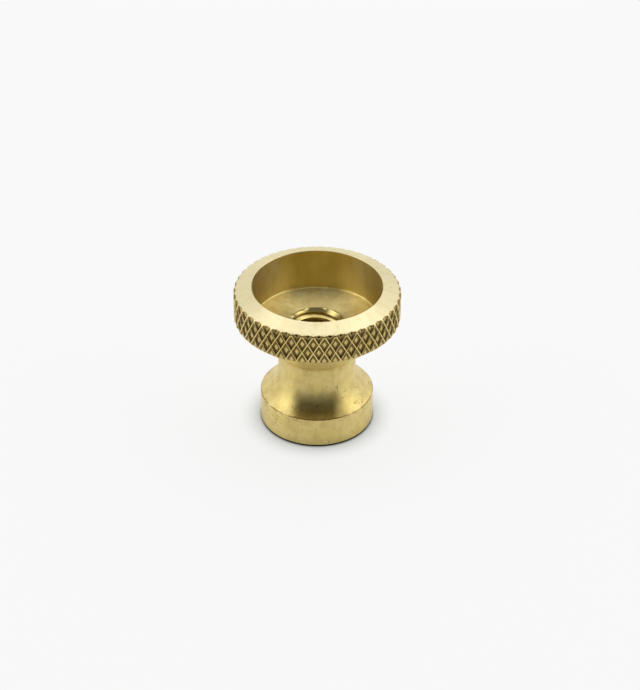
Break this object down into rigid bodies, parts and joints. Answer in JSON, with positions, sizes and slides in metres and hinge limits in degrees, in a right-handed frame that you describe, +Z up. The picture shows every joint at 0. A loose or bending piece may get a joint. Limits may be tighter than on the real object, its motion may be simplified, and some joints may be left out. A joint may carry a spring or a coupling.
{
  "type": "knurled knob",
  "caption": "One-piece turned brass thumb knob: diamond-knurled cup-shaped head on a waisted neck with a round foot and a tapped hole through its axis.",
  "frame": {"origin": "centre of the foot's underside, on the knob's axis", "axes": "+Z up the knob's axis from the foot to the lip of the cup, +X and +Y level; the knurl repeats every 7.5 degrees about Z"},
  "size_m": [0.0254, 0.0254, 0.0239],
  "materials": {
    "brass": "turned and lightly handled, unlacquered"
  },
  "bodies": {
    "root": {"knob": "brass"}
  },
  "joints": []
}
